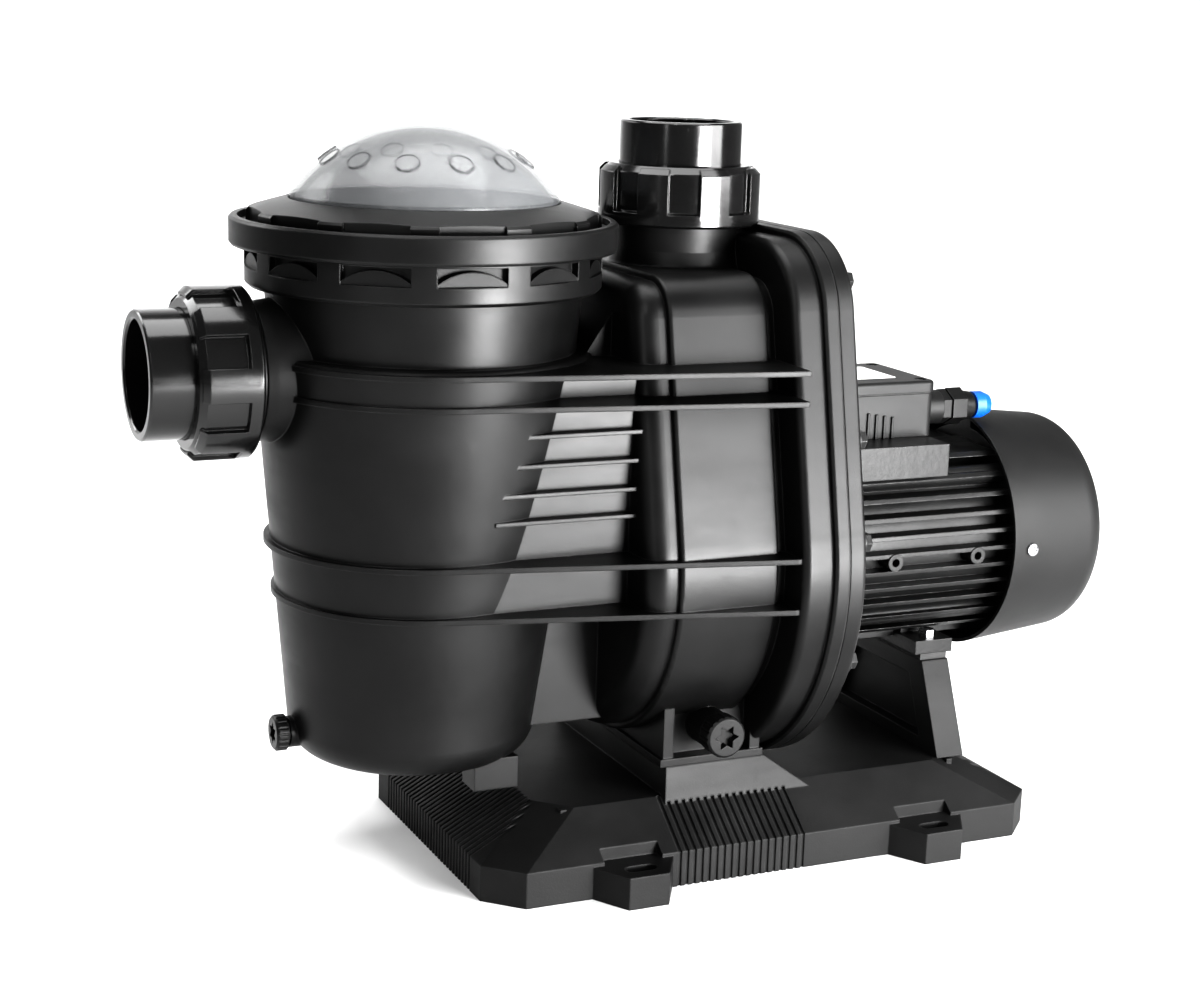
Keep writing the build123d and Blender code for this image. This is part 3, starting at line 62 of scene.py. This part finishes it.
# shader maths: wrap a socket and write plain expressions with it
class Wire:
    def __init__(self, paint, socket):
        self.paint, self.socket = paint, socket

    def math(self, operation, other=None, clamp=False):
        values = {0: self} if other is None else {0: self, 1: other}
        return self.paint.node("ShaderNodeMath", {"operation": operation, "use_clamp": clamp}, values)

    def __add__(self, other): return self.math("ADD", other)
    def __radd__(self, other): return self.math("ADD", other)
    def __sub__(self, other): return self.math("SUBTRACT", other)
    def __mul__(self, other): return self.math("MULTIPLY", other)
    def __rmul__(self, other): return self.math("MULTIPLY", other)

    def __rsub__(self, other):
        return self.paint.node("ShaderNodeMath", {"operation": "SUBTRACT"}, {0: other, 1: self})

    def clamped(self):
        return self.math("ADD", 0.0, clamp=True)


class Paint:
    def __init__(self, name):
        self.material = bpy.data.materials.new(name)
        self.material.use_nodes = True
        self.tree = self.material.node_tree
        self.shader = self.tree.nodes["Principled BSDF"]
        self.place = self.node("ShaderNodeTexCoord", {}, {}, "Object")

    def link(self, value, socket):
        if isinstance(value, Wire):
            self.tree.links.new(value.socket, socket)
        else:
            socket.default_value = value

    def node(self, kind, settings, values, output=0):
        made = self.tree.nodes.new(kind)
        for key, value in settings.items():
            if key == "stops":
                ramp = made.color_ramp
                while len(ramp.elements) < len(value):
                    ramp.elements.new(0.5)
                for element, (position, shade) in zip(ramp.elements, value):
                    element.position, element.color = position, (shade, shade, shade, 1)
            else:
                setattr(made, key, value)
        for key, value in values.items():
            self.link(value, made.inputs[key])
        return Wire(self, made.outputs[output])

    def set(self, **values):
        for key, value in values.items():
            self.link(value, self.shader.inputs[key.replace("_", " ").title().replace("Ior", "IOR")])

    def noise(self, scale, detail=3.0, roughness=0.55, place=None):
        return self.node("ShaderNodeTexNoise", {}, {
            "Vector": place or self.place, "Scale": scale, "Detail": detail, "Roughness": roughness}, "Fac")

    def stretched(self, x, y, z):
        return self.node("ShaderNodeMapping", {}, {"Vector": self.place, "Scale": (x, y, z)})

    def ramp(self, value, *stops):
        return self.node("ShaderNodeValToRGB", {"stops": stops}, {"Fac": value}, "Color")

    def mix(self, factor, first, second):
        return self.node("ShaderNodeMix", {"data_type": "RGBA"}, {0: factor, 6: first, 7: second}, 2)

    def roundedNormal(self, radius):
        return self.node("ShaderNodeBevel", {"samples": bevelSamples}, {"Radius": radius})

    def edgeMask(self, rounded, gain):
        face = self.node("ShaderNodeNewGeometry", {}, {}, "Normal")
        same = self.node("ShaderNodeVectorMath", {"operation": "DOT_PRODUCT"}, {0: rounded, 1: face}, "Value")
        return ((1.0 - same) * gain).clamped()

    def bump(self, height, strength, distance, normal=None):
        values = {"Height": height, "Strength": strength, "Distance": distance}
        if normal:
            values["Normal"] = normal
        return self.node("ShaderNodeBump", {}, values)


def grey(value):
    return (value, value, value, 1)


# moulded plastics: colour, grain size per metre, edge rounding and how the gloss drifts
mouldings = {
    "body_plastic": {"dark": 0.003, "light": 0.007, "rough": (0.31, 0.47), "grain": 1500,
                     "grainDepth": 0.00007, "edge": 0.0012, "worn": 0.035, "specular": 0.22},
    "base_plastic": {"dark": 0.005, "light": 0.011, "rough": (0.46, 0.62), "grain": 900,
                     "grainDepth": 0.00012, "edge": 0.0014, "worn": 0.04, "specular": 0.22},
    "union_plastic": {"dark": 0.003, "light": 0.005, "rough": (0.10, 0.19), "grain": 260,
                      "grainDepth": 0.00003, "edge": 0.0010, "worn": 0.03, "specular": 0.50},
    "ring_plastic": {"dark": 0.004, "light": 0.009, "rough": (0.28, 0.42), "grain": 1300,
                     "grainDepth": 0.00005, "edge": 0.0009, "worn": 0.03, "specular": 0.22},
    "box_plastic": {"dark": 0.005, "light": 0.010, "rough": (0.36, 0.50), "grain": 1700,
                    "grainDepth": 0.00006, "edge": 0.0009, "worn": 0.03, "specular": 0.24},
    "inner_plastic": {"dark": 0.020, "light": 0.040, "rough": (0.38, 0.55), "grain": 1200,
                      "grainDepth": 0.00006, "edge": 0.0006, "worn": 0.08, "specular": 0.5},
    "grey_plastic": {"dark": 0.20, "light": 0.30, "rough": (0.36, 0.52), "grain": 1100,
                     "grainDepth": 0.00006, "edge": 0.0006, "worn": 0.36, "specular": 0.5},
    "basket_plastic": {"dark": 0.42, "light": 0.56, "rough": (0.34, 0.50), "grain": 900,
                       "grainDepth": 0.00006, "edge": 0.0006, "worn": 0.62, "specular": 0.5},
}


def moulded(name, look):
    paint = Paint(name)
    cloud = paint.noise(14.0, 4.0)
    flow = paint.noise(1.0, 3.0, 0.6, paint.stretched(9.0, 9.0, 42.0))  # faint flow lines along the draw
    grain = paint.noise(look["grain"], 2.0, 0.6)
    scuff = paint.ramp(paint.noise(70.0, 6.0, 0.7), (0.60, 0.0), (0.78, 1.0))
    rounded = paint.roundedNormal(look["edge"])
    worn = paint.edgeMask(rounded, 3.0) * paint.ramp(paint.noise(55.0, 4.0), (0.40, 0.25), (0.62, 1.0))
    base = paint.mix(paint.ramp(cloud, (0.30, 0.0), (0.72, 1.0)), grey(look["dark"]), grey(look["light"]))
    base = paint.mix(worn, base, grey(look["worn"]))
    low, high = look["rough"]
    sheen = paint.ramp(flow * 0.6 + cloud * 0.4, (0.30, low), (0.70, high))
    paint.set(base_color=base, roughness=sheen + scuff * 0.06 + (grain - 0.5) * 0.04,
              specular_ior_level=look["specular"],
              normal=paint.bump(grain, 0.55, look["grainDepth"],
                                paint.bump(cloud, 0.25, 0.0008, rounded)))
    return paint.material


# painted castings and sheet: a hard coat over a lumpy or rolled ground
coatings = {
    "motor_paint": {"dark": 0.006, "light": 0.013, "rough": (0.26, 0.42), "lump": 230, "depth": 0.00022,
                    "edge": 0.0010, "bare": 0.12, "specular": 0.26},
    "cowl_paint": {"dark": 0.006, "light": 0.011, "rough": (0.40, 0.52), "lump": 1100, "depth": 0.00006,
                   "edge": 0.0010, "bare": 0.08, "specular": 0.26},
}


def coated(name, look):
    paint = Paint(name)
    lump = paint.noise(look["lump"], 3.0, 0.6)
    drift = paint.noise(18.0, 3.0)
    rounded = paint.roundedNormal(look["edge"])
    chips = paint.ramp(paint.noise(120.0, 5.0, 0.7), (0.45, 0.0), (0.66, 1.0))
    bare = paint.edgeMask(rounded, 2.6) * chips
    base = paint.mix(drift, grey(look["dark"]), grey(look["light"]))
    low, high = look["rough"]
    paint.set(base_color=paint.mix(bare, base, grey(look["bare"])),
              roughness=paint.ramp(drift, (0.3, low), (0.7, high)) + lump * 0.05,
              metallic=bare * 0.5, specular_ior_level=look["specular"],
              normal=paint.bump(lump, 0.6, look["depth"], rounded))
    return paint.material


# bare metals: turned, drawn or cast
metals = {
    "steel": {"tint": (0.42, 0.42, 0.43), "rough": (0.20, 0.34),
             "lay": (60.0, 900.0, 900.0), "depth": 0.00002},
    "laminations": {"tint": (0.24, 0.24, 0.26), "rough": (0.34, 0.50),
                   "lay": (1900.0, 30.0, 30.0), "depth": 0.0001},
    "brass": {"tint": (0.66, 0.49, 0.22), "rough": (0.22, 0.36),
             "lay": (900.0, 80.0, 900.0), "depth": 0.00002},
    "copper": {"tint": (0.55, 0.22, 0.09), "rough": (0.25, 0.42),
              "lay": (60.0, 1300.0, 1300.0), "depth": 0.00025},
}


def metal(name, look):
    paint = Paint(name)
    lines = paint.noise(1.0, 3.0, 0.6, paint.stretched(*look["lay"]))
    stain = paint.noise(38.0, 4.0, 0.6)
    rounded = paint.roundedNormal(0.0003)
    shade = [0.72 * value for value in look["tint"]]
    low, high = look["rough"]
    tone = paint.ramp(stain, (0.3, 0.0), (0.7, 1.0))
    paint.set(base_color=paint.mix(tone, (*shade, 1), (*look["tint"], 1)),
              metallic=1.0, roughness=paint.ramp(lines * 0.5 + stain * 0.5, (0.3, low), (0.7, high)),
              normal=paint.bump(lines, 0.4, look["depth"], rounded))
    return paint.material


def rubbery(name):
    look = {"dark": 0.010, "light": 0.020, "rough": (0.62, 0.80), "bloom": 0.045}
    paint = Paint(name)
    skin = paint.noise(1600.0, 2.0)
    bloom = paint.ramp(paint.noise(60.0, 5.0, 0.65), (0.52, 0.0), (0.8, 1.0))  # grey bloom of old rubber
    base = paint.mix(skin, grey(look["dark"]), grey(look["light"]))
    paint.set(base_color=paint.mix(bloom * 0.5, base, grey(look["bloom"])),
              roughness=paint.ramp(skin, (0.3, look["rough"][0]), (0.7, look["rough"][1])),
              normal=paint.bump(skin, 0.5, 0.00005))
    return paint.material


def clearLid(name):
    # the darkest colour here and its gain are painted shade for the edges of the bosses and the lid's outer
    # edge
    look = {"tint": (0.17, 0.175, 0.18, 1), "dust": (0.21, 0.215, 0.22, 1), "rough": (0.16, 0.24),
            "haze": 0.42, "rim": (0.05, 0.052, 0.055, 1), "edge": 0.0016, "rimGain": 22.0,
            "transmission": 0.1, "ior": 1.42, "specular": 0.14}
    paint = Paint(name)
    ripple = paint.noise(30.0, 2.0)
    haze = paint.ramp(paint.noise(46.0, 5.0, 0.7), (0.35, 0.0), (0.80, 1.0))
    rounded = paint.roundedNormal(look["edge"])
    edge = paint.edgeMask(rounded, look["rimGain"])  # painted shade: darkens the edges of the bosses and of the lid's outer edge, a dark colour the clear plastic doesn't have
    # the dark edge colour mixed into the base colour here is painted shade, not a colour of the plastic
    paint.set(base_color=paint.mix(edge, paint.mix(haze, look["tint"], look["dust"]), look["rim"]),
              roughness=paint.ramp(haze, (0.0, look["rough"][0]), (1.0, look["rough"][1])),
              transmission_weight=look["transmission"], ior=look["ior"],
              specular_ior_level=look["specular"],
              alpha=(haze * 0.06 + look["haze"] + edge * 0.45).clamped(),
              normal=paint.bump(ripple, 0.2, 0.0006, rounded))
    return paint.material


def fired(name):
    look = {"dark": (0.80, 0.78, 0.72, 1), "light": (0.90, 0.89, 0.86, 1), "rough": (0.14, 0.26)}
    paint = Paint(name)
    speck = paint.noise(900.0, 3.0)
    paint.set(base_color=paint.mix(speck, look["dark"], look["light"]),
              roughness=paint.ramp(speck, (0.3, look["rough"][0]), (0.7, look["rough"][1])),
              normal=paint.bump(speck, 0.3, 0.00003))
    return paint.material


def carbonRing(name):
    look = {"dark": 0.018, "light": 0.045, "rough": (0.25, 0.42)}
    paint = Paint(name)
    lap = paint.noise(700.0, 4.0)
    paint.set(base_color=paint.mix(lap, grey(look["dark"]), grey(look["light"])),
              roughness=paint.ramp(lap, (0.3, look["rough"][0]), (0.7, look["rough"][1])),
              normal=paint.bump(lap, 0.3, 0.00004))
    return paint.material


def bluePlug(name):
    look = {"deep": (0.002, 0.055, 0.27, 1), "bright": (0.004, 0.09, 0.40, 1), "worn": (0.03, 0.18, 0.52, 1),
            "edge": 0.0006, "rough": (0.30, 0.42)}
    paint = Paint(name)
    cloud = paint.noise(120.0, 3.0)
    grain = paint.noise(1500.0, 2.0)
    rounded = paint.roundedNormal(look["edge"])
    base = paint.mix(cloud, look["deep"], look["bright"])
    paint.set(base_color=paint.mix(paint.edgeMask(rounded, 2.0), base, look["worn"]),
              roughness=paint.ramp(cloud, (0.3, look["rough"][0]), (0.7, look["rough"][1])),
              normal=paint.bump(grain, 0.4, 0.00004, rounded))
    return paint.material


def blankLabel(name):
    look = {"clean": (0.86, 0.86, 0.85, 1), "soiled": (0.68, 0.68, 0.66, 1), "rough": (0.34, 0.48)}
    paint = Paint(name)
    fibre = paint.noise(1.0, 4.0, 0.6, paint.stretched(300.0, 1400.0, 300.0))
    soil = paint.ramp(paint.noise(45.0, 5.0, 0.65), (0.50, 0.0), (0.85, 1.0))
    paint.set(base_color=paint.mix(soil * 0.4, look["clean"], look["soiled"]),
              roughness=paint.ramp(fibre, (0.3, look["rough"][0]), (0.7, look["rough"][1])),
              normal=paint.bump(fibre, 0.25, 0.00003))
    return paint.material


finishes = {name: moulded(name, look) for name, look in mouldings.items()}
finishes.update({name: coated(name, look) for name, look in coatings.items()})
finishes.update({name: metal(name, look) for name, look in metals.items()})
finishes["rubber"] = rubbery("rubber")
finishes["black_steel"] = coated("black_steel", coatings["motor_paint"])
finishes["clear_plastic"] = clearLid("clear_plastic")
finishes["seal_ceramic"] = fired("seal_ceramic")
finishes["seal_carbon"] = carbonRing("seal_carbon")
finishes["plug_blue"] = bluePlug("plug_blue")
finishes["label"] = blankLabel("label")
print("finishes made:", len(finishes))


# every CAD node keeps its shape and takes the finish of its slot
for name, obj in frame["nodes"].items():
    obj.data.materials.clear()
    obj.data.materials.append(finishes[slotOf[name]])
print("nodes finished:", len(frame["nodes"]))


# pale sweep: floor and wall in one, with a wide cove between them
sweepLook = {"reach": 3.2, "wall": 3.4, "cove": 0.9, "coveSteps": 18, "shade": 0.84, "speckle": 0.03}


def paleSweep():
    deselectAll()
    bpy.ops.mesh.primitive_plane_add(size=2 * sweepLook["reach"], location=(0, 0, 0))
    sweep = bpy.context.object
    sweep.name = "paleSweep"
    bpy.ops.object.mode_set(mode="EDIT")
    bpy.ops.mesh.select_mode(type="EDGE")
    bpy.ops.mesh.select_all(action="DESELECT")
    bpy.ops.object.mode_set(mode="OBJECT")
    for edge in sweep.data.edges:
        edge.select = all(sweep.data.vertices[i].co.y > 1 for i in edge.vertices)
    bpy.ops.object.mode_set(mode="EDIT")
    bpy.ops.mesh.extrude_region_move(TRANSFORM_OT_translate={"value": (0, 0, sweepLook["wall"])})
    bpy.ops.mesh.select_all(action="DESELECT")
    bpy.ops.object.mode_set(mode="OBJECT")
    for edge in sweep.data.edges:
        ends = [sweep.data.vertices[i].co for i in edge.vertices]
        edge.select = all(end.y > 1 and end.z < 0.1 for end in ends)
    bpy.ops.object.mode_set(mode="EDIT")
    bpy.ops.mesh.bevel(offset=sweepLook["cove"], segments=sweepLook["coveSteps"])
    bpy.ops.object.mode_set(mode="OBJECT")
    bpy.ops.object.shade_smooth()
    paint = Paint("paleSweep")
    speckle = paint.noise(60.0, 4.0)
    pale, paler = grey(sweepLook["shade"]), grey(sweepLook["shade"] + sweepLook["speckle"])
    paint.set(base_color=paint.mix(speckle, pale, paler),
              roughness=paint.ramp(speckle, (0.3, 0.75), (0.7, 0.85)))
    sweep.data.materials.append(paint.material)


paleSweep()
print("sweep ready")

# studio: a broad soft box front right that the flat faces mirror, one overhead, one slim one on the left
lamps = {
    "frontRight": {"place": (1.25, -1.35, 0.75), "aim": (0.0, -0.1, 0.25),
                  "size": (0.9, 1.0), "power": 44.0},
    "lowFront": {"place": (0.50, -1.40, 0.16), "aim": (-0.02, -0.1, 0.24),
                "size": (0.60, 0.36), "power": 58.0},
    "overhead": {"place": (0.0, 0.25, 1.9), "aim": (0.0, 0.0, 0.2),
                "size": (1.7, 1.2), "power": 34.0},
    "leftStrip": {"place": (-1.5, -1.1, 0.9), "aim": (-0.1, 0.0, 0.3),
                 "size": (0.12, 1.1), "power": 6.0},
    "unionStrip": {"place": (-0.75, -0.95, 1.35), "aim": (-0.1, 0.0, 0.38),
                  "size": (0.06, 0.7), "power": 3.5},
    "rearLeft": {"place": (-1.2, 1.4, 1.2), "aim": (0.0, 0.0, 0.3),
                "size": (1.0, 0.8), "power": 14.0},
    "backWash": {"place": (0.9, 1.5, 1.9), "aim": (1.6, 3.1, 0.3),
                "size": (2.4, 0.6), "power": 34.0},
}
for lampName, look in lamps.items():
    light = bpy.data.lights.new(lampName, "AREA")
    light.shape, light.energy = "RECTANGLE", look["power"]
    light.size, light.size_y = look["size"]
    lamp = bpy.data.objects.new(lampName, light)
    bpy.context.scene.collection.objects.link(lamp)
    lamp.location = look["place"]
    lamp.rotation_euler = (Vector(look["aim"]) - Vector(look["place"])).to_track_quat("-Z", "Y").to_euler()

# room: an even white fill from all round
roomLook = {"color": (1.0, 1.0, 1.0, 1), "strength": 0.26}
room = bpy.data.worlds.new("room")
bpy.context.scene.world = room
room.use_nodes = True
background = room.node_tree.nodes["Background"]
background.inputs["Color"].default_value = roomLook["color"]
background.inputs["Strength"].default_value = roomLook["strength"]
bpy.context.scene.view_settings.view_transform = "Standard"
bpy.context.scene.view_settings.look = "High Contrast"
print("lamps and room ready")
